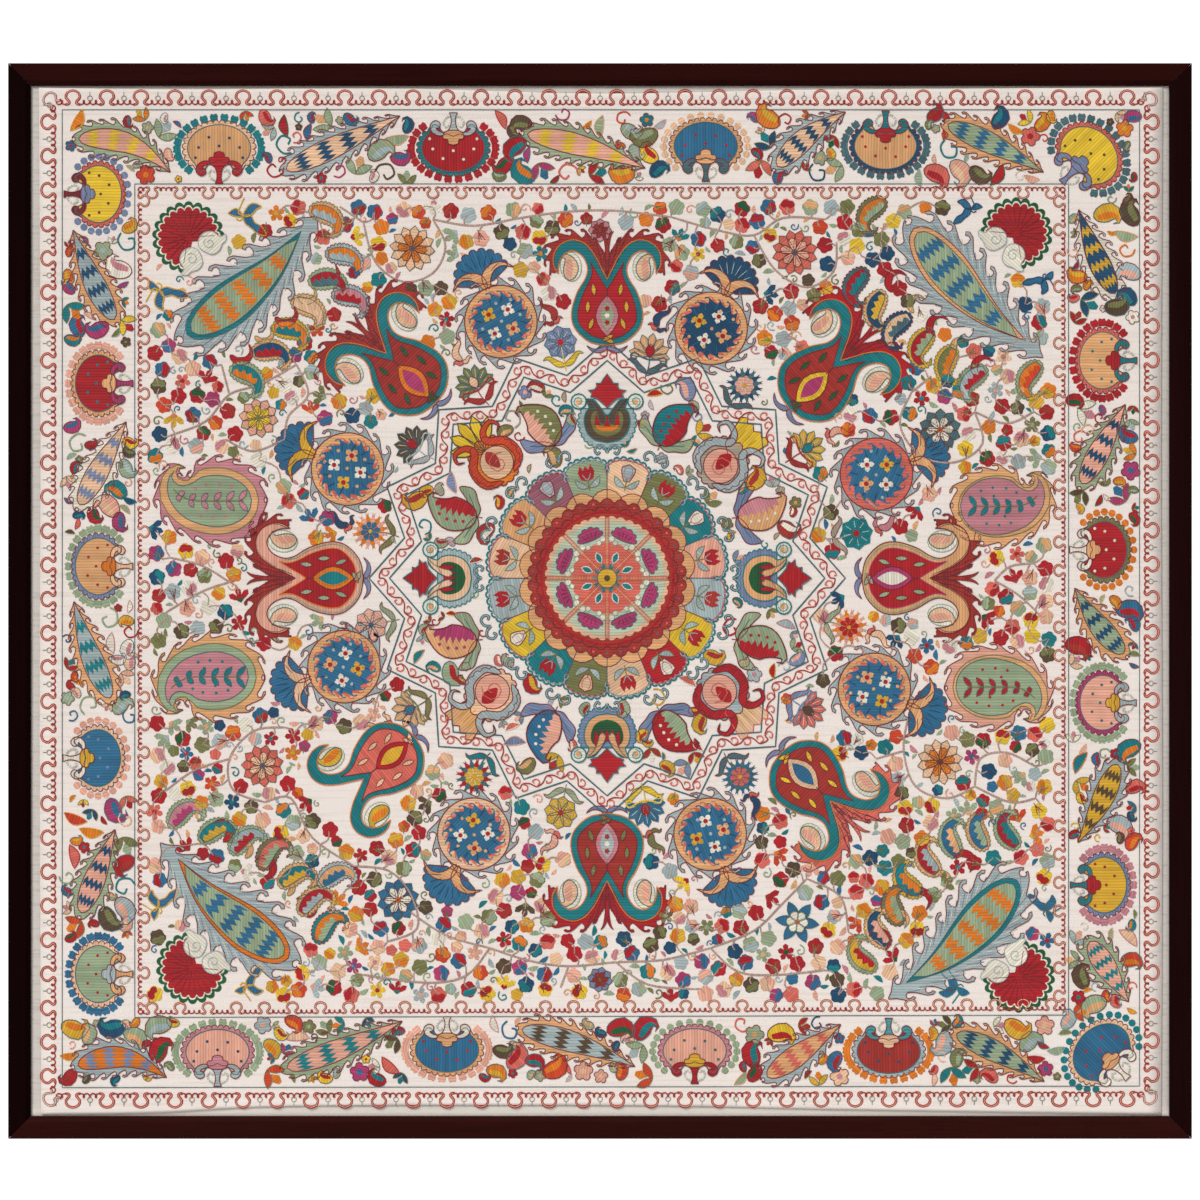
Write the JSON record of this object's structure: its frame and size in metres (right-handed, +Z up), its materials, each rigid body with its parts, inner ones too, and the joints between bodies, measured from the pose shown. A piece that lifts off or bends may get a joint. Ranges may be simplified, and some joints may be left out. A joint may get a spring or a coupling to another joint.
{
  "type": "embroidered cloth in a wooden frame",
  "caption": "Large wall-hung embroidered cotton cloth sewn on a padded mount board in a mitred dark wood frame.",
  "frame": {"origin": "middle of the top rail's back face, where the frame hangs on the wall", "axes": "+Z up, the embroidery faces -Y, and +Y points into the wall"},
  "size_m": [1.5, 0.032, 1.363],
  "materials": {
    "stained_wood": "satin",
    "mount_cotton": "matte",
    "ground_cotton": "matte",
    "silk_thread": "satin",
    "outline_thread": "satin"
  },
  "bodies": {
    "root": {"rail_bottom": "stained_wood", "rail_left": "stained_wood", "rail_top": "stained_wood", "rail_right": "stained_wood", "mount_board": "mount_cotton", "embroidered_cloth": "ground_cotton"}
  },
  "joints": []
}
